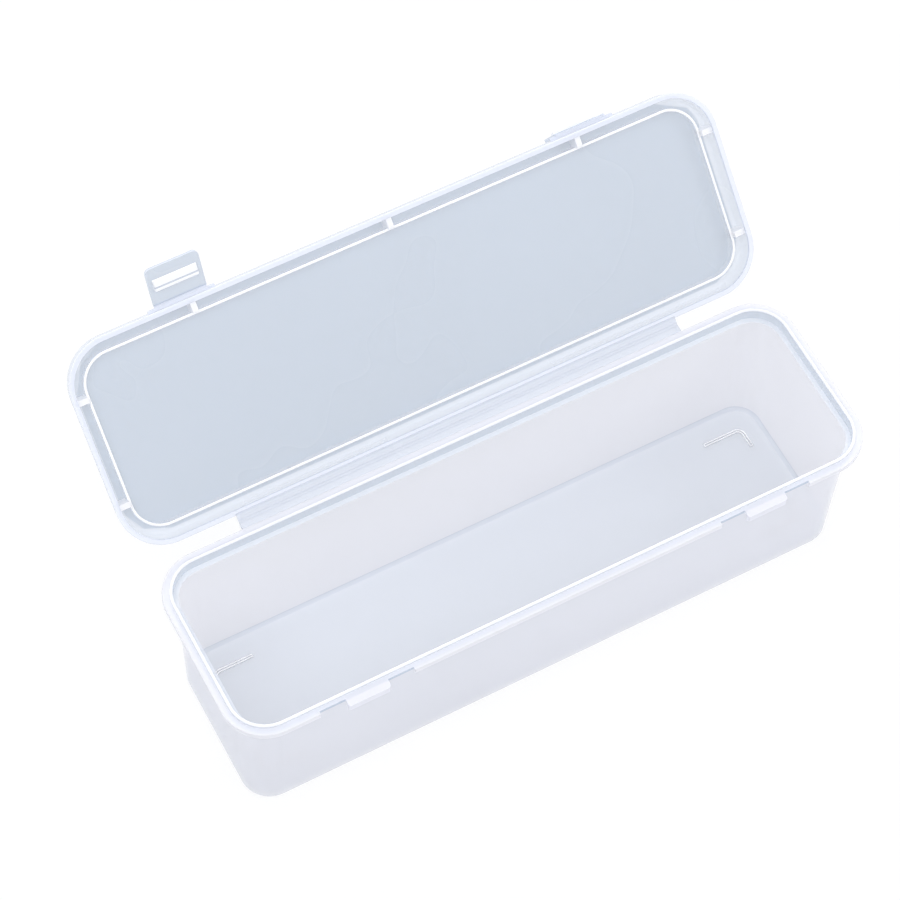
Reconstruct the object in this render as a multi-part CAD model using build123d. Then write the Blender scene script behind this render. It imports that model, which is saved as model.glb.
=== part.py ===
from build123d import *
from math import cos, radians, sin
import os

# Long translucent polypropylene brush case: a deep tray, a lid on a strap-type living hinge, and two
# snap latches. Millimetres. +X runs along the case, +Y towards the hinge, +Z up.
# The origin is the centre of the flat underside.
# The lid and the latches are drawn shut and flat, as they leave the mould line, then turned to rest.

# ---- driving dimensions: tray ----
RIM_L = 290.0            # flange length, outer edge to outer edge
RIM_W = 87.0             # flange width
RIM_R = 19.0             # flange corner radius
FLANGE_Z = 76.0          # top of the flange above the table
FLANGE_T = 1.2           # flange thickness
APRON_D = 3.0            # depth of the turned-down edge, from the flange top
APRON_T = 1.2            # thickness of the turned-down edge
COLLAR_OUT = 3.1         # inset of the collar's outer face from the flange edge
COLLAR_IN = 4.4          # inset of the collar's inner face
BEAD_H = 1.4             # height of the bead above the flange
BEAD_ROUND = 0.55        # rounding of the bead's crest
EDGE_ROUND = 0.4         # rounding of the flange's and the lid's outer edges
SHOULDER_D = 6.0         # depth of the inner shoulder below the bead's crest
WALL_IN_TOP = 5.3        # inset of the wall's outer face under the collar
WALL_IN_BASE = 6.4       # inset of the wall's outer face at the base
WALL_T = 1.2             # side wall thickness
FLOOR_T = 1.4            # floor thickness
BASE_BEVEL = 2.0         # bevel between wall and underside
FLOOR_ROUND = 2.2        # rounding between wall and floor, inside

# ---- driving dimensions: corner ridges on the floor ----
RIDGE_H = 0.7            # height of the ridges
RIDGE_W = 1.7            # width of a ridge
RIDGE_IN_X = 17.0        # from the flange's end to the middle of the ridge
RIDGE_IN_Y = 19.0        # from the flange's side to the middle of the ridge
RIDGE_BEND = 4.0         # outer bend radius of the L
RIDGE_LEG_X = 19.4       # length of the leg along the case
RIDGE_LEG_Y = 10.6       # length of the leg across the case

# ---- driving dimensions: lid ----
LID_OVER = 1.4           # overhang of the lid past the flange edge
LID_GAP = 0.3            # gap between the lid's edge and the flange when shut
LID_H = 9.5              # height of the lid
LID_DRAFT = 1.2          # inward draft of the skirt over the lid's height
LID_T = 1.2              # panel thickness
LID_ROUND = 3.0          # rounding of the lid's top edge
SKIRT_T = 1.4            # skirt thickness
LIP_W = 2.2              # width of the lid's flat edge lip
LIP_T = 1.2              # thickness of the lid's edge lip
RING_INSET = 6.0         # middle of the ring rib, from the flange edge
RING_T = 1.1             # ring rib thickness
RING_RECESS = 3.7        # how far the ring's crest sits above the lid's edge
RIB_T = 2.4              # cross rib thickness
RIB_RECESS = 1.35        # how far the cross ribs' crests sit above the lid's edge
RIB_X = 87.0             # places of the cross ribs along the front, each side of the middle one
RIB_Y = 22.8             # places of the cross ribs on the ends

# ---- driving dimensions: latches and keepers ----
LATCH_FROM_END = 54.5    # from the flange's end to the middle of each latch
NOTCH_W = 41.4           # width of the gap in the flange edge at each latch
NOTCH_D = 1.5            # depth of that gap
KEEPER_W = 18.5          # keeper width
KEEPER_R = 1.2           # corner radius of the keeper's nose
KEEPER_OUT = 1.9         # how far the keeper stands out past the flange edge
KEEPER_NOSE = 3.6        # height of the keeper's upright nose
KEEPER_LIP = 1.4         # thickness of the nose
KEEPER_D = 4.4           # depth of the catch below the flange top
PEDESTAL_W = 29.0        # width of the lid's pedestal behind a latch
PEDESTAL_OUT = 1.0       # how far the pedestal stands out past the lid's edge
PEDESTAL_T = 1.0         # thickness of the pedestal
LATCH_UP = 2.7           # height of a latch's fold line above the lid's edge
LATCH_W = 23.0           # latch flap width
LATCH_L = 17.9           # latch flap length from its fold line
LATCH_T = 1.3            # latch flap thickness
LATCH_R = 2.5            # corner radius at the free end
HOOK_LEN = 19.0          # length of the hook bar
HOOK_NEAR = 7.7          # from the fold line to the hook's catching face
HOOK_FAR = 12.7          # from the fold line to the foot of the hook's ramp
HOOK_CREST = 1.5         # width of the hook's crest
HOOK_H = 1.9             # height of the hook

# ---- driving dimensions: folding films ----
HINGE_LEN = 203.6        # length of the strap hinge
HINGE_REACH = 3.85       # from the flange edge to the fold line
HINGE_DROP = 0.7         # from the flange top down to the fold line
LEAF_T = 0.9             # thickness of the tray's leaf
LEAF_AIR = 0.2           # from the fold line to the face of each leaf
LEAF_RIB_T = 1.2         # thickness of the turned-down rib at each end of the tray's leaf
FILM_T = 0.4             # thickness of a folding film
FILM_HALF = 0.45         # from the hinge's fold line to the end of a leaf
LATCH_FILM_FIXED = 0.4   # from a latch's fold line to the pedestal
LATCH_FILM_FREE = 0.9    # from a latch's fold line to the end of the flap

# ---- rest pose ----
LID_OPEN = 136.5         # opening of the lid from shut, degrees
LEFT_SWING = 22.6        # turn of the left latch from flat towards the keeper, degrees
RIGHT_SWING = -105.0     # the right latch is folded back against the skirt, degrees

# ---- levels that follow from the sizes above ----
HALF_W = RIM_W / 2
LATCH_X = RIM_L / 2 - LATCH_FROM_END
BEAD_Z = FLANGE_Z + BEAD_H
SHOULDER_Z = BEAD_Z - SHOULDER_D
EDGE_Z = FLANGE_Z + LID_GAP
LID_TOP_Z = EDGE_Z + LID_H
PANEL_Z = LID_TOP_Z - LID_T
LID_HALF_W = HALF_W + LID_OVER
HINGE_Y = HALF_W + HINGE_REACH
HINGE_Z = FLANGE_Z - HINGE_DROP
PEDESTAL_Y = -LID_HALF_W - PEDESTAL_OUT
LATCH_Y = PEDESTAL_Y - LATCH_FILM_FIXED
LATCH_Z = EDGE_Z + LATCH_UP
SEAM = 0.01              # overlap that makes two drawn volumes fuse

HINGE_AXIS = Axis((0, HINGE_Y, HINGE_Z), (1, 0, 0))
LATCH_AXIS = Axis((0, LATCH_Y, LATCH_Z), (1, 0, 0))


def outline(inset, z):
    """The flange's rounded outline, drawn smaller by inset, at height z."""
    return Plane.XY.offset(z) * RectangleRounded(RIM_L - 2 * inset, RIM_W - 2 * inset, RIM_R - inset)


def slab(inset, z0, z1):
    return extrude(outline(inset, z0), z1 - z0)


def band(inset_out, inset_in, z0, z1):
    """A wall that follows the rim between two insets."""
    return slab(inset_out, z0, z1) - slab(inset_in, z0 - 1, z1 + 1)


def tapered(inset0, z0, inset1, z1):
    return loft([outline(inset0, z0), outline(inset1, z1)], ruled=True)


def bar(x0, x1, y0, y1, z0, z1):
    return Pos((x0 + x1) / 2, (y0 + y1) / 2, (z0 + z1) / 2) * Box(x1 - x0, y1 - y0, z1 - z0)


def prism(profile, x0, x1):
    """A profile of (y, z) points, drawn out along the case."""
    face = Plane.YZ.offset(x0) * make_face(Polyline(*profile, close=True))
    return extrude(face, x1 - x0)


def opened(shape):
    """Turn a piece of the lid from shut to its rest pose."""
    return shape.rotate(HINGE_AXIS, -LID_OPEN)


def opened_point(y, z):
    """Where a (y, z) point of the shut lid goes at rest."""
    turn = radians(-LID_OPEN)
    dy, dz = y - HINGE_Y, z - HINGE_Z
    return HINGE_Y + dy * cos(turn) - dz * sin(turn), HINGE_Z + dy * sin(turn) + dz * cos(turn)


# ---- tray ----
def tray_shell():
    draft = (WALL_IN_BASE - WALL_IN_TOP) / SHOULDER_Z
    outer = tapered(WALL_IN_BASE, 0, WALL_IN_TOP, SHOULDER_Z)
    outer = chamfer(outer.faces().sort_by(Axis.Z)[0].edges(), BASE_BEVEL)
    low = WALL_IN_BASE + WALL_T - draft * FLOOR_T
    cavity = tapered(low, FLOOR_T, WALL_IN_TOP + WALL_T - draft, SHOULDER_Z + 1)
    cavity = fillet(cavity.faces().sort_by(Axis.Z)[0].edges(), FLOOR_ROUND)
    return outer - cavity


def tray_rim():
    collar = band(COLLAR_OUT, COLLAR_IN, SHOULDER_Z - WALL_T, BEAD_Z)
    collar = fillet(collar.faces().sort_by(Axis.Z)[-1].edges(), BEAD_ROUND)
    shoulder = band(COLLAR_OUT, WALL_IN_TOP + WALL_T / 2, SHOULDER_Z - WALL_T, SHOULDER_Z)
    flange = slab(0, FLANGE_Z - APRON_D, FLANGE_Z)
    rims = flange.faces().filter_by(Axis.Z)
    flange = fillet(rims.edges(), EDGE_ROUND)
    flange -= slab(APRON_T, FLANGE_Z - APRON_D - 1, FLANGE_Z - FLANGE_T)
    flange -= slab(COLLAR_IN - SEAM, FLANGE_Z - APRON_D, FLANGE_Z + 1)
    rim = collar + shoulder + flange
    for side in (-1, 1):
        x = side * LATCH_X
        rim -= bar(x - NOTCH_W / 2, x + NOTCH_W / 2, -HALF_W - 1, -HALF_W + NOTCH_D,
                   FLANGE_Z - APRON_D - 1, FLANGE_Z + 1)
    return rim


def floor_ridges():
    """Four L-shaped ridges raised on the floor, one near each corner."""
    half_x = RIM_L / 2 - RIDGE_IN_X
    half_y = HALF_W - RIDGE_IN_Y
    loop = Rectangle(2 * half_x + RIDGE_W, 2 * half_y + RIDGE_W)
    loop = fillet(loop.vertices(), RIDGE_BEND)
    hole = Rectangle(2 * half_x - RIDGE_W, 2 * half_y - RIDGE_W)
    hole = fillet(hole.vertices(), RIDGE_BEND - RIDGE_W)
    ring = Pos(0, 0, FLOOR_T) * extrude(loop - hole, RIDGE_H)
    ridges = []
    for sx in (-1, 1):
        for sy in (-1, 1):
            x = sx * (half_x + RIDGE_W / 2 - RIDGE_LEG_X / 2)
            y = sy * (half_y + RIDGE_W / 2 - RIDGE_LEG_Y / 2)
            corner = Pos(x, y, FLOOR_T + RIDGE_H / 2) * Box(RIDGE_LEG_X, RIDGE_LEG_Y, RIDGE_H * 2)
            ridges.append((ring & corner).solid())
    return Compound(ridges)


def keeper(side):
    """Catch in front of the latch notch: a sloping top and a nose that hangs down."""
    root = -HALF_W + NOTCH_D
    nose = -HALF_W - KEEPER_OUT
    low = FLANGE_Z - KEEPER_D
    profile = [(root, FLANGE_Z - FLANGE_T), (root, FLANGE_Z), (root - 0.6, FLANGE_Z),
               (nose, low + KEEPER_NOSE), (nose, low), (nose + KEEPER_LIP, low),
               (nose + KEEPER_LIP, FLANGE_Z - FLANGE_T - 0.4)]
    x = side * LATCH_X
    block = prism(profile, x - KEEPER_W / 2, x + KEEPER_W / 2)
    return fillet(block.edges().filter_by(Axis.Z).group_by(Axis.Y)[0], KEEPER_R)


# ---- strap hinge ----
def hinge_leaf_tray():
    half = HINGE_LEN / 2
    top = HINGE_Z - LEAF_AIR
    leaf = bar(-half, half, HALF_W, HINGE_Y - FILM_HALF, top - LEAF_T, top)
    for side in (-1, 1):
        x = side * (half - LEAF_RIB_T / 2)
        leaf += bar(x - LEAF_RIB_T / 2, x + LEAF_RIB_T / 2, HALF_W, HINGE_Y - FILM_HALF,
                    FLANGE_Z - APRON_D, top)
    return leaf


def hinge_leaf_lid():
    """Drawn shut, hanging from the rear edge of the lid."""
    half = HINGE_LEN / 2
    return bar(-half, half, LID_HALF_W - 1, HINGE_Y - FILM_HALF, HINGE_Z + LEAF_AIR, EDGE_Z)


def hinge_web():
    """Film from the end of the tray's leaf to the end of the lid's leaf, at rest."""
    tray_mid = HINGE_Z - LEAF_AIR - LEAF_T / 2
    lid_mid = (HINGE_Z + LEAF_AIR + EDGE_Z) / 2
    end = HINGE_Y - FILM_HALF
    near = [(end, tray_mid - FILM_T / 2), (end, tray_mid + FILM_T / 2)]
    far = [opened_point(end, lid_mid + step) for step in (-FILM_T / 2, FILM_T / 2)]
    return prism(near + far, -HINGE_LEN / 2, HINGE_LEN / 2)


# ---- lid, drawn shut ----
def lid_outer():
    outer = tapered(-LID_OVER, EDGE_Z, LID_DRAFT - LID_OVER, LID_TOP_Z)
    outer = fillet(outer.faces().sort_by(Axis.Z)[-1].edges(), LID_ROUND)
    return fillet(outer.faces().sort_by(Axis.Z)[0].edges(), EDGE_ROUND)


def lid_cavity():
    inside = LID_DRAFT - LID_OVER + SKIRT_T
    cavity = tapered(SKIRT_T - LID_OVER, EDGE_Z, inside, PANEL_Z)
    return fillet(cavity.faces().sort_by(Axis.Z)[-1].edges(), LID_ROUND - LID_T)


def lid():
    lip = band(SKIRT_T / 2 - LID_OVER, LIP_W - LID_OVER, EDGE_Z, EDGE_Z + LIP_T)
    return lid_outer() - lid_cavity() + lip


def lid_ring():
    ring = band(RING_INSET - RING_T / 2, RING_INSET + RING_T / 2, EDGE_Z + RING_RECESS, PANEL_Z)
    return fillet(ring.faces().sort_by(Axis.Z)[0].edges(), RING_T / 3)


def lid_cross_ribs():
    """Blocks that tie the ring to the skirt, along the front and on both ends, just clear of the bead."""
    z0 = EDGE_Z + RIB_RECESS
    half = RIB_T / 2
    far_x = RIM_L / 2 + LID_OVER
    front = [bar(x - half, x + half, -LID_HALF_W, 0, z0, PANEL_Z) for x in (-RIB_X, 0, RIB_X)]
    ends = [bar(*sorted((0, side * far_x)), y - half, y + half, z0, PANEL_Z)
            for side in (-1, 1) for y in (-RIB_Y, RIB_Y)]
    room = lid_cavity() - slab(RING_INSET - RING_T / 2, EDGE_Z, PANEL_Z + 1)
    return Compound([(rib & room).solid() for rib in front + ends])


def latch_pedestal(side):
    x = side * LATCH_X
    block = bar(x - PEDESTAL_W / 2, x + PEDESTAL_W / 2, PEDESTAL_Y, -HALF_W + 1,
                LATCH_Z - PEDESTAL_T / 2, LATCH_Z + PEDESTAL_T / 2)
    return (block - lid_outer()).solid()


# ---- latches, drawn flat in front of the shut lid ----
def latch_flap(side):
    near = LATCH_Y - LATCH_FILM_FREE
    far = LATCH_Y - LATCH_L
    face = Pos(side * LATCH_X, (near + far) / 2, LATCH_Z - LATCH_T / 2) * Rectangle(LATCH_W, near - far)
    face = fillet(face.vertices().sort_by(Axis.Y)[:2], LATCH_R)
    return extrude(face, LATCH_T)


def latch_hook(side):
    """Ramped bar on the flap's inner face, steep on the side that catches."""
    y = LATCH_Y - HOOK_NEAR
    z = LATCH_Z - LATCH_T / 2
    profile = [(y, z), (y - 0.2, z - HOOK_H), (y - 0.2 - HOOK_CREST, z - HOOK_H), (LATCH_Y - HOOK_FAR, z)]
    x = side * LATCH_X
    return prism(profile, x - HOOK_LEN / 2, x + HOOK_LEN / 2)


def latch_web(side, swing):
    """Film from the pedestal to the fold line, and on to the turned flap."""
    x0 = side * LATCH_X - LATCH_W / 2
    x1 = x0 + LATCH_W
    half = FILM_T / 2
    fixed = bar(x0, x1, LATCH_Y, PEDESTAL_Y, LATCH_Z - half, LATCH_Z + half)
    core = Pos((x0 + x1) / 2, LATCH_Y, LATCH_Z) * Rot(0, 90, 0) * Cylinder(half, LATCH_W)
    free = bar(x0, x1, LATCH_Y - LATCH_FILM_FREE, LATCH_Y, LATCH_Z - half, LATCH_Z + half)
    return fixed + core + free.rotate(LATCH_AXIS, swing)


def write(name, shape):
    export_step(shape, f"parts/{name}.step")


def main():
    os.makedirs("parts", exist_ok=True)
    write("tray", tray_shell() + tray_rim())
    write("floor_ridges", floor_ridges())
    write("hinge_leaf_tray", hinge_leaf_tray())
    write("hinge_web", hinge_web())
    write("hinge_leaf_lid", opened(hinge_leaf_lid()))
    write("lid", opened(lid()))
    write("lid_ring", opened(lid_ring()))
    write("lid_cross_ribs", opened(lid_cross_ribs()))
    for name, side, swing in (("left", -1, LEFT_SWING), ("right", 1, RIGHT_SWING)):
        write(f"keeper_{name}", keeper(side))
        write(f"latch_pedestal_{name}", opened(latch_pedestal(side)))
        write(f"latch_web_{name}", opened(latch_web(side, swing)))
        write(f"latch_flap_{name}", opened(latch_flap(side).rotate(LATCH_AXIS, swing)))
        write(f"latch_hook_{name}", opened(latch_hook(side).rotate(LATCH_AXIS, swing)))
    print("lid hinge", HINGE_Y, HINGE_Z, "latch hinges", opened_point(LATCH_Y, LATCH_Z))


main()
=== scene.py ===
"""Looks for the long hinged brush case: one translucent polypropylene moulding on a white floor."""

import math

import bmesh
import bpy
from mathutils import Matrix, Vector

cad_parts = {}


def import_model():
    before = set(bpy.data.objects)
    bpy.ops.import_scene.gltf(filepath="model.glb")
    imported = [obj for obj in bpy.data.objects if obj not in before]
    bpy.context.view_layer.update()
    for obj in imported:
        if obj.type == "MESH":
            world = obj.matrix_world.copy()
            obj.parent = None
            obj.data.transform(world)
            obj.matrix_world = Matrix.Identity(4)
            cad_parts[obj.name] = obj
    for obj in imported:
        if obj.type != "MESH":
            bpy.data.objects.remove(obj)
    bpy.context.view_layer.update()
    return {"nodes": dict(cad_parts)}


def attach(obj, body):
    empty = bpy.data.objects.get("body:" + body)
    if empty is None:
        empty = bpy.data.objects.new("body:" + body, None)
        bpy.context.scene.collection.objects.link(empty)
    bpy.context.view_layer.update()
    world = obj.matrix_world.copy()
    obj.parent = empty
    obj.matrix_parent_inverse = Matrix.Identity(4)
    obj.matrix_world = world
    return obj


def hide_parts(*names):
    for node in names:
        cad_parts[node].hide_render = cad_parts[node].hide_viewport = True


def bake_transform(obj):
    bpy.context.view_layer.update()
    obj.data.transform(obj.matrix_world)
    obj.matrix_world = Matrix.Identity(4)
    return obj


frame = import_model()

# ---- camera: solved from the photograph's edges, in the part's own frame ----
CAMERA_AT = (-0.32831, -0.49705, 1.17169)
CAMERA_RIGHT = (0.88133112, -0.47184162, 0.02491887)
CAMERA_DOWN = (-0.39985353, -0.7728887, -0.49270702)
CAMERA_AHEAD = (0.25173919, 0.42427413, -0.8698384)
FOCAL_PX = 3097.95
IMAGE_PX = 900
SENSOR_MM = 36.0

# ---- the case's own sizes, metres, as in its source ----
RIM_X, RIM_Y, RIM_R = 0.145, 0.0435, 0.019
FLANGE_Z, EDGE_Z, SHOULDER_Z = 0.076, 0.0763, 0.0714
FLOOR_T = 0.0014
LIP_T, EDGE_ROUND = 0.0013, 0.0004
HINGE_Y, HINGE_Z = 0.04735, 0.0753
LID_OPEN = math.radians(136.5)

# ---- where one plastic's look gives way to the next, metres ----
NEAR = 0.0002            # how far a face may lie from the height it is known by
BASE_EDGE_TOP = 0.0036   # up to here the bend between floor and wall, painted darker as shade
WALL_TOP = 0.0701        # from here the collar, the shoulder and the flange
BEAD_FOOT = FLANGE_Z + 0.0008
FLANGE_FOOT = FLANGE_Z - 0.0001
APRON_DEEP = 0.0013      # how far inside the flange's outline the apron reaches
APRON_FOOT = 0.07345     # below here the apron's foot, painted white as a highlight
PANEL_DEEP = 0.0045      # how far inside the outline the lid's panel starts
CREST_TOP = EDGE_Z + 0.0042
LEVEL = 0.9              # least share of a normal along Z on a level face
LIP_LEVEL = 0.5          # the same on the lid's lip, with its rounded corners

# ---- ridges on the floor, metres ----
RIDGE_IN = (0.017, 0.019)
RIDGE_W, RIDGE_BEND, RIDGE_TOP = 0.0017, 0.004, 0.0021
RIDGE_LEG = (0.0194, 0.0106)
RIDGE_LINE = 0.00032     # half the width of the painted highlight line along a ridge

# ---- folds of the hinge film and the latch films, (y, z) with the lid shut, metres ----
HINGE_HALF_X = 0.1018
HINGE_NEAR = ((0.0469, 0.07445), (0.0469, 0.07485))   # the film's two faces where it leaves the tray
HINGE_FAR = (0.0469, 0.0759)                          # its middle where it reaches the lid
FILM_T = 0.0004
FOLD_STEPS = 14
LATCH_X = 0.0905
LATCH_HALF_W = 0.0115
LATCH_FOLD = (-0.0463, 0.079)
LATCH_FIXED, LATCH_FREE = 0.0004, 0.0009
HOOK_HALF = 0.0095
# hook: along the flat latch from its fold line, and down from its middle, with each face's look: painted
# highlight on the bar, painted shade in its groove
HOOK_PROFILE = (
    (0.00770, 0.00065, "crest"), (0.00776, 0.00190, "crest"), (0.00794, 0.00238, "crest"),
    (0.00830, 0.00255, "crest"), (0.00890, 0.00255, "crest"), (0.00925, 0.00246, "hook_groove"),
    (0.00945, 0.00226, "hook_groove"), (0.00985, 0.00216, "crest"), (0.01005, 0.00224, "rib"),
    (0.01210, 0.00106, "crest"), (0.01262, 0.00065, "crest"))
HOOK_END = 0.0008        # rounding of the hook's ends
HOOK_END_SHARE = 0.4     # share of its height that the hook keeps at its very ends
HOOK_END_DEG = (0, 30, 60)   # steps of the rounding; the last one's height, 0.92, runs along the whole middle
LATCH_SWING = {"left": math.radians(22.6), "right": math.radians(-105.0)}

# ---- plastics: colour (linear), cover of one surface, roughness, depth of the cloudy variation ----
# One plastic throughout, painted lighter or darker by region to match how bright each part looks, so the tones
# carry light and shade as well as its own pale blue-grey
PLASTICS = {
    "wall": ((0.89, 0.89, 0.94, 1), 0.43, 0.34, 0.02),
    "floor": ((0.67, 0.71, 0.79, 1), 0.42, 0.36, 0.02),
    # painted shade along the bend between floor and wall
    "base_shade": ((0.62, 0.67, 0.77, 1), 0.42, 0.32, 0.02),
    "collar": ((0.62, 0.70, 0.81, 1), 0.46, 0.26, 0.015),
    "shoulder": ((0.84, 0.88, 0.95, 1), 0.50, 0.26, 0.01),
    "flange": ((0.90, 0.90, 0.96, 1), 0.62, 0.24, 0.015),
    "apron": ((0.92, 0.91, 0.94, 1), 0.60, 0.26, 0.01),
    # painted highlight along the rim's bead and the apron's foot
    "rim_highlight": ((0.93, 0.94, 0.97, 1), 0.86, 0.22, 0.0),
    "panel": ((0.45, 0.53, 0.64, 1), 0.42, 0.28, 0.03),
    "skirt": ((0.70, 0.76, 0.86, 1), 0.34, 0.28, 0.015),
    "lip": ((0.82, 0.85, 0.94, 1), 0.70, 0.24, 0.01),
    "ring": ((0.84, 0.88, 0.94, 1), 0.14, 0.24, 0.01),
    # painted highlight: near-opaque white for the bright lines along the ring, the hook bars and the ridges'
    # edges
    "crest": ((0.97, 0.97, 0.98, 1), 0.97, 0.22, 0.0),
    # painted highlight: near-white for the lid's cross ribs and one face of each hook bar
    "rib": ((0.95, 0.95, 0.97, 1), 0.90, 0.24, 0.0),
    "strap": ((0.75, 0.79, 0.88, 1), 0.55, 0.28, 0.01),
    "flap": ((0.56, 0.63, 0.73, 1), 0.46, 0.28, 0.015),
    # painted highlight on the flap's edge faces
    "flap_edge_highlight": ((0.68, 0.74, 0.84, 1), 0.62, 0.26, 0.01),
    # painted shade in the hook bar's groove
    "hook_groove": ((0.62, 0.66, 0.74, 1), 0.80, 0.26, 0.0),
    "ridge": ((0.90, 0.92, 0.96, 1), 0.05, 0.28, 0.0),
}
PLASTIC_IOR = 1.49
GLOSS_SPREAD = 0.06      # roughness varies this much either way
NOISE_DETAIL = 2.0
CLOUD_SCALE = 13.0       # cloudy patches of the frosted plastic, about 75 mm
GRAIN_SCALE = 2600.0     # fine frost, about 0.4 mm
GRAIN_STRENGTH, GRAIN_DEPTH = 0.12, 0.00003
LINE_SCALE = 420.0       # fine moulded lines along the strap, about 0.75 mm apart
LINE_STRENGTH, LINE_DEPTH = 0.5, 0.0002

# ---- studio: metres and watts ----
WHITE = (1.0, 1.0, 1.0, 1.0)
SKY_COLOR, SKY_STRENGTH = (0.94, 0.96, 1.0, 1), 0.62
FLOOR_COLOR = (0.93, 0.94, 0.96, 1)
FLOOR_SIZE, FLOOR_Z = 6, -0.0002
FLOOR_GLOW = 0.85        # share of plain white in the floor as the camera sees it
LAMPS = (                # name, place, target, size, watts
    ("key", (-0.5, -0.3, 1.3), (0, 0, 0.05), (0.9, 0.9), 8),
    ("fill", (1.0, -0.4, 0.9), (0, 0, 0.05), (0.8, 0.8), 5),
    ("back", (0.1, 1.2, 0.9), (0, 0.05, 0.08), (1.4, 0.5), 8),
)


def added(name, data):
    """A new object of the scene with this data."""
    obj = bpy.data.objects.new(name, data)
    bpy.context.scene.collection.objects.link(obj)
    return obj


def turned(y, z, angle):
    """A (y, z) offset turned about the X axis."""
    c, s = math.cos(angle), math.sin(angle)
    return y * c - z * s, y * s + z * c


def inset(x, y):
    """How far a point lies inside the flange's rounded outline."""
    qx, qy = abs(x) - (RIM_X - RIM_R), abs(y) - (RIM_Y - RIM_R)
    outside = math.hypot(max(qx, 0), max(qy, 0))
    return RIM_R - outside - min(max(qx, qy), 0)


def shut(p):
    """Where a point of the open lid lies when the lid is shut."""
    dy, dz = turned(p.y - HINGE_Y, p.z - HINGE_Z, LID_OPEN)
    return Vector((p.x, HINGE_Y + dy, HINGE_Z + dz))


def opened(y, z):
    """Where a (y, z) point of the shut lid lies at rest."""
    dy, dz = turned(y - HINGE_Y, z - HINGE_Z, -LID_OPEN)
    return HINGE_Y + dy, HINGE_Z + dz


# ---- plastics ----
def noise(tree, where, scale):
    """A noise texture of this scale on the piece's own coordinates."""
    node = tree.nodes.new("ShaderNodeTexNoise")
    node.inputs["Scale"].default_value = scale
    node.inputs["Detail"].default_value = NOISE_DETAIL
    tree.links.new(where, node.inputs["Vector"])
    return node.outputs["Fac"]


def bump(tree, height, strength, depth):
    node = tree.nodes.new("ShaderNodeBump")
    node.inputs["Strength"].default_value = strength
    node.inputs["Distance"].default_value = depth
    tree.links.new(height, node.inputs["Height"])
    return node


def plastic(name):
    """Frosted translucent polypropylene: cloudy in colour, mottled in gloss, with a fine grain."""
    color, cover, roughness, cloud = PLASTICS[name]
    m = bpy.data.materials.new("pp_" + name)
    m.use_nodes = True
    tree = m.node_tree
    nodes, links = tree.nodes, tree.links
    p = nodes["Principled BSDF"]
    p.inputs["IOR"].default_value = PLASTIC_IOR
    p.inputs["Alpha"].default_value = cover
    where = nodes.new("ShaderNodeTexCoord").outputs["Object"]

    patches = noise(tree, where, CLOUD_SCALE)
    tint = nodes.new("ShaderNodeMix")
    tint.data_type = "RGBA"
    share, dark, light = tint.inputs[0], tint.inputs[6], tint.inputs[7]
    dark.default_value = [c * (1 - cloud) for c in color[:3]] + [1]
    light.default_value = [min(1.0, c * (1 + cloud)) for c in color[:3]] + [1]
    links.new(patches, share)
    links.new(tint.outputs[2], p.inputs["Base Color"])

    gloss = nodes.new("ShaderNodeMapRange")
    gloss.inputs["To Min"].default_value = roughness - GLOSS_SPREAD
    gloss.inputs["To Max"].default_value = roughness + GLOSS_SPREAD
    links.new(patches, gloss.inputs["Value"])
    links.new(gloss.outputs["Result"], p.inputs["Roughness"])

    relief = bump(tree, noise(tree, where, GRAIN_SCALE), GRAIN_STRENGTH, GRAIN_DEPTH)
    if name == "strap":
        lines = nodes.new("ShaderNodeTexWave")
        lines.bands_direction = "Y"
        lines.inputs["Scale"].default_value = LINE_SCALE
        links.new(where, lines.inputs["Vector"])
        groove = bump(tree, lines.outputs["Fac"], LINE_STRENGTH, LINE_DEPTH)
        links.new(relief.outputs["Normal"], groove.inputs["Normal"])
        relief = groove
    links.new(relief.outputs["Normal"], p.inputs["Normal"])
    return m


def paint(obj, choose):
    """Give each face of a piece the plastic that choose() names for its centre and normal."""
    order = []
    obj.data.materials.clear()
    for poly in obj.data.polygons:
        name = choose(poly.center, poly.normal)
        if name not in order:
            order.append(name)
            obj.data.materials.append(MADE[name])
        poly.material_index = order.index(name)


def tray_face(p, n):
    if p.z < NEAR or (abs(p.z - FLOOR_T) < NEAR and n.z > LEVEL):
        return "floor"
    # painted shade on the bend between floor and wall
    if p.z < BASE_EDGE_TOP:
        return "base_shade"
    if p.z < WALL_TOP:
        return "wall"
    # painted highlight on the rounded bead, and below on the apron's foot
    if p.z > BEAD_FOOT:
        return "rim_highlight"
    if inset(p.x, p.y) < APRON_DEEP:
        return "rim_highlight" if p.z < APRON_FOOT else "apron"
    if n.z > LEVEL and p.z < SHOULDER_Z + NEAR:
        return "shoulder"
    if p.z > FLANGE_FOOT:
        return "flange"
    return "collar"


def lid_face(p, n):
    q = shut(p)
    up = (shut(p + n) - q).z
    if q.z < EDGE_Z + LIP_T and (abs(up) > LIP_LEVEL or q.z < EDGE_Z + EDGE_ROUND):
        return "lip"
    return "panel" if inset(q.x, q.y) > PANEL_DEEP else "skirt"


def ring_face(p, n):
    # the ring's crest is painted as a highlight
    return "crest" if shut(p).z < CREST_TOP else "ring"


def flap_face(side):
    """The rule for a latch's flap: its two broad faces are level once the latch is turned back to lie flat,
    and its edge faces get a painted highlight.
    """
    def choose(p, n):
        m = shut(p + n) - shut(p)
        _, level = turned(m.y, m.z, -LATCH_SWING[side])
        return "flap" if abs(level) > LEVEL else "flap_edge_highlight"
    return choose


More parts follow.
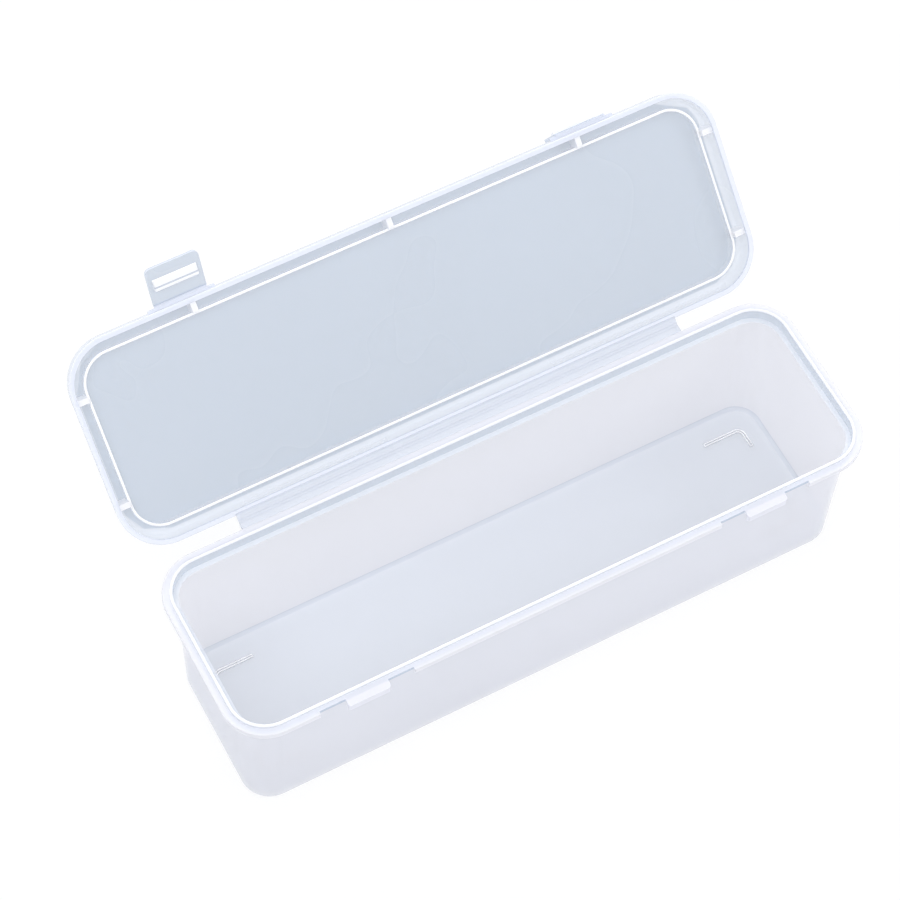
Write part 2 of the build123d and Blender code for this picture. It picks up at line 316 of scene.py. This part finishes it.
def dress():
    """Give every piece of the frame its plastics, by a rule for each face or one plastic throughout."""
    rules = {"tray": tray_face, "lid": lid_face, "lid_ring": ring_face}
    # the lid's cross ribs are painted as a highlight all over
    plain = {"floor_ridges": "ridge", "lid_cross_ribs": "rib",
             "hinge_leaf_tray": "strap", "hinge_leaf_lid": "strap", "hinge_web": "strap"}
    for side in ("left", "right"):
        rules["latch_flap_" + side] = flap_face(side)
        plain.update({"keeper_" + side: "flange", "latch_hook_" + side: "crest",
                      "latch_pedestal_" + side: "lip", "latch_web_" + side: "lip"})
    for name, obj in frame["nodes"].items():
        paint(obj, rules.get(name, lambda p, n: plain[name]))


# ---- painted highlight lines along the rounded edges of the ridges on the floor ----
def ridge_side(out):
    """The (x, y) points of an L's outer edge for out = 1, and of its inner edge for out = -1."""
    reach_x, reach_y = RIM_X - RIDGE_IN[0], RIM_Y - RIDGE_IN[1]
    half = RIDGE_W / 2 - RIDGE_LINE
    bend = RIDGE_BEND - RIDGE_W / 2 + out * half
    edge_x, edge_y = reach_x + out * half, reach_y + out * half
    turn = [(edge_x - bend + bend * math.sin(a), edge_y - bend + bend * math.cos(a))
            for a in (math.radians(15 * i) for i in range(7))]
    start = (reach_x + RIDGE_W / 2 - RIDGE_LEG[0] + RIDGE_LINE, edge_y)
    end = (edge_x, reach_y + RIDGE_W / 2 - RIDGE_LEG[1] + RIDGE_LINE)
    return [start] + turn + [end]


def ridge_highlight(name, sx, sy):
    """One painted highlight line, a white tube along the top edge of an L-shaped ridge."""
    loop = ridge_side(1) + list(reversed(ridge_side(-1)))
    curve = bpy.data.curves.new(name, "CURVE")
    curve.dimensions = "3D"
    curve.bevel_depth = RIDGE_LINE
    curve.bevel_resolution = 2
    line = curve.splines.new("POLY")
    line.points.add(len(loop) - 1)
    line.use_cyclic_u = True
    for point, (x, y) in zip(line.points, loop):
        point.co = (sx * x, sy * y, RIDGE_TOP, 1)
    drawn = added(name, curve)
    mesh = bpy.data.meshes.new_from_object(drawn)
    bpy.data.objects.remove(drawn)
    mesh.materials.clear()
    mesh.materials.append(MADE["crest"])
    obj = added(name, mesh)
    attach(obj, "tray")


def ridge_highlights():
    for sx, end in ((-1, "left"), (1, "right")):
        for sy, edge in ((-1, "front"), (1, "rear")):
            ridge_highlight("ridge_edge_%s_%s" % (edge, end), sx, sy)


# ---- films and hook bars, in place of the plain ones of the frame ----
def closed(name, verts, faces):
    """A new object of these faces, with its normals turned outward."""
    mesh = bpy.data.meshes.new(name)
    mesh.from_pydata(verts, [], faces)
    shape = bmesh.new()
    shape.from_mesh(mesh)
    bmesh.ops.recalc_face_normals(shape, faces=shape.faces)
    shape.to_mesh(mesh)
    shape.free()
    return added(name, mesh)


def film(name, x0, x1, lower, upper, look):
    """A closed strip between two rails of (y, z) points."""
    loop = list(lower) + list(reversed(upper))
    count = len(loop)
    verts = [(x, y, z) for x in (x0, x1) for y, z in loop]
    faces = [(i, (i + 1) % count, count + (i + 1) % count, count + i) for i in range(count)]
    for base in (0, count):
        faces += [(base + i, base + i + 1, base + count - 2 - i, base + count - 1 - i)
                  for i in range(len(lower) - 1)]
    obj = closed(name, verts, faces)
    obj.data.materials.append(MADE[look])
    return obj


def rail(points):
    """Even steps along a line of (y, z) corners."""
    out = []
    for (y0, z0), (y1, z1) in zip(points, points[1:]):
        out += [(y0 + (y1 - y0) * i / FOLD_STEPS, z0 + (z1 - z0) * i / FOLD_STEPS)
                for i in range(FOLD_STEPS)]
    return out + [points[-1]]


def hinge_film():
    """The strap's fold, from the tray's leaf to the lid's."""
    far = [opened(HINGE_FAR[0], HINGE_FAR[1] + step) for step in (FILM_T / 2, -FILM_T / 2)]
    obj = film("hinge_strap_film", -HINGE_HALF_X, HINGE_HALF_X,
               rail([HINGE_NEAR[0], far[0]]), rail([HINGE_NEAR[1], far[1]]), "strap")
    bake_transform(obj)
    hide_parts("hinge_web")


def latch_point(side, along, down):
    """Where a point of the flat latch lies at rest: along it from the fold line, and down from its middle."""
    dy, dz = turned(-along, -down, LATCH_SWING[side])
    return opened(LATCH_FOLD[0] + dy, LATCH_FOLD[1] + dz)


def latch_hook(side, sign):
    """The ramped bar inside the flap: a rounded crest, a fine groove behind it, and a long ramp, painted white
    as a highlight with painted shade in the groove.
    """
    root = min(down for _, down, _ in HOOK_PROFILE)
    ends = [(HOOK_HALF - HOOK_END * (1 - math.cos(a)), 1 - (1 - HOOK_END_SHARE) * (1 - math.sin(a)))
            for a in map(math.radians, HOOK_END_DEG)]
    verts, faces, looks = [], [], []
    for x, share in sorted((way * x, share) for x, share in ends for way in (-1, 1)):
        for along, down, _ in HOOK_PROFILE:
            y, z = latch_point(side, along, root + (down - root) * share)
            verts.append((sign * LATCH_X + x, y, z))
    count = len(HOOK_PROFILE)
    last = len(verts) - count
    for row in range(0, last, count):
        for i in range(count):
            j = (i + 1) % count
            faces.append((row + i, row + j, row + count + j, row + count + i))
            looks.append(HOOK_PROFILE[i][2])
    for first in (0, last):
        faces.append(tuple(range(first, first + count)))
        looks.append("crest")
    obj = closed("hook_bar_" + side, verts, faces)
    order = sorted(set(looks))
    for look in order:
        obj.data.materials.append(MADE[look])
    for poly, look in zip(obj.data.polygons, looks):
        poly.material_index = order.index(look)
    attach(obj, "latch_" + side)
    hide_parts("latch_hook_" + side)


def latch_film(side, sign):
    """A latch's fold, from the lid's pedestal round its bend to the flap."""
    fold_y, fold_z = LATCH_FOLD
    rails, fixed, free = [], [], []
    for up in (-FILM_T / 2, FILM_T / 2):
        fixed.append(opened(fold_y + LATCH_FIXED, fold_z + up))
        free.append(latch_point(side, LATCH_FREE, -up))
        dy, dz = turned(0, up, LATCH_SWING[side] / 2)
        rails.append(rail([fixed[-1], opened(fold_y + dy, fold_z + dz), free[-1]]))
    obj = film("latch_film_" + side, sign * LATCH_X - LATCH_HALF_W, sign * LATCH_X + LATCH_HALF_W,
               *rails, "lip")
    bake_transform(obj)
    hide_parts("latch_web_" + side)


# ---- camera, lamps and backdrop ----
def camera():
    data = bpy.data.cameras.new("camera")
    data.sensor_width = SENSOR_MM
    data.lens = FOCAL_PX * SENSOR_MM / IMAGE_PX
    data.clip_start = 0.05
    data.clip_end = 20
    obj = added("camera", data)
    rows = (Vector(CAMERA_RIGHT), -Vector(CAMERA_DOWN), -Vector(CAMERA_AHEAD))
    turn = Matrix([r.normalized() for r in rows]).transposed().to_4x4()
    obj.matrix_world = Matrix.Translation(CAMERA_AT) @ turn
    bpy.context.scene.camera = obj


def area_lamp(name, at, target, size, watts):
    data = bpy.data.lights.new(name, "AREA")
    data.shape = "RECTANGLE"
    data.size, data.size_y = size
    data.energy = watts
    obj = added(name, data)
    obj.location = at
    obj.rotation_euler = (Vector(target) - Vector(at)).to_track_quat("-Z", "Y").to_euler()


def seen_directly(tree):
    """1 for rays that should meet the plain white of the backdrop."""
    path = tree.nodes.new("ShaderNodeLightPath")
    seen = path.outputs["Is Camera Ray"]
    for ray in ("Is Transmission Ray", "Is Glossy Ray"):
        either = tree.nodes.new("ShaderNodeMath")
        either.operation = "MAXIMUM"
        tree.links.new(seen, either.inputs[0])
        tree.links.new(path.outputs[ray], either.inputs[1])
        seen = either.outputs[0]
    return seen


def mixed(tree, share, first, second, out):
    """Lead a mix of two shaders to an output: the first for a share of 0, the second for 1."""
    mix = tree.nodes.new("ShaderNodeMixShader")
    for source, target in zip((share, first.outputs[0], second.outputs[0]), mix.inputs):
        tree.links.new(source, target)
    tree.links.new(mix.outputs[0], out.inputs[0])


def world():
    """A soft bluish sky that lights the case, and plain white where it is seen."""
    w = bpy.data.worlds.new("studio")
    bpy.context.scene.world = w
    w.use_nodes = True
    tree = w.node_tree
    tree.nodes.clear()
    out = tree.nodes.new("ShaderNodeOutputWorld")
    soft = tree.nodes.new("ShaderNodeBackground")
    soft.inputs["Color"].default_value = SKY_COLOR
    soft.inputs["Strength"].default_value = SKY_STRENGTH
    plain = tree.nodes.new("ShaderNodeBackground")
    plain.inputs["Color"].default_value = WHITE
    mixed(tree, seen_directly(tree), soft, plain, out)


def floor():
    """A matt floor that keeps the case's shadow and looks nearly white."""
    bpy.ops.mesh.primitive_plane_add(size=FLOOR_SIZE, location=(0, 0, FLOOR_Z))
    obj = bpy.context.object
    obj.name = "floor"
    m = bpy.data.materials.new("floor_white")
    m.use_nodes = True
    tree = m.node_tree
    tree.nodes.clear()
    out = tree.nodes.new("ShaderNodeOutputMaterial")
    matt = tree.nodes.new("ShaderNodeBsdfDiffuse")
    matt.inputs["Color"].default_value = FLOOR_COLOR
    glow = tree.nodes.new("ShaderNodeEmission")
    glow.inputs["Strength"].default_value = 1.0
    share = tree.nodes.new("ShaderNodeMath")
    share.operation = "MULTIPLY"
    share.inputs[1].default_value = FLOOR_GLOW
    tree.links.new(seen_directly(tree), share.inputs[0])
    mixed(tree, share.outputs[0], matt, glow, out)
    obj.data.materials.append(m)


# ---- the scene ----
MADE = {name: plastic(name) for name in PLASTICS}
camera()
world()
floor()
dress()
ridge_highlights()
hinge_film()
for name, way in (("left", -1), ("right", 1)):
    latch_film(name, way)
    latch_hook(name, way)
for lamp in LAMPS:
    area_lamp(*lamp)

bpy.context.scene.view_settings.view_transform = "Standard"
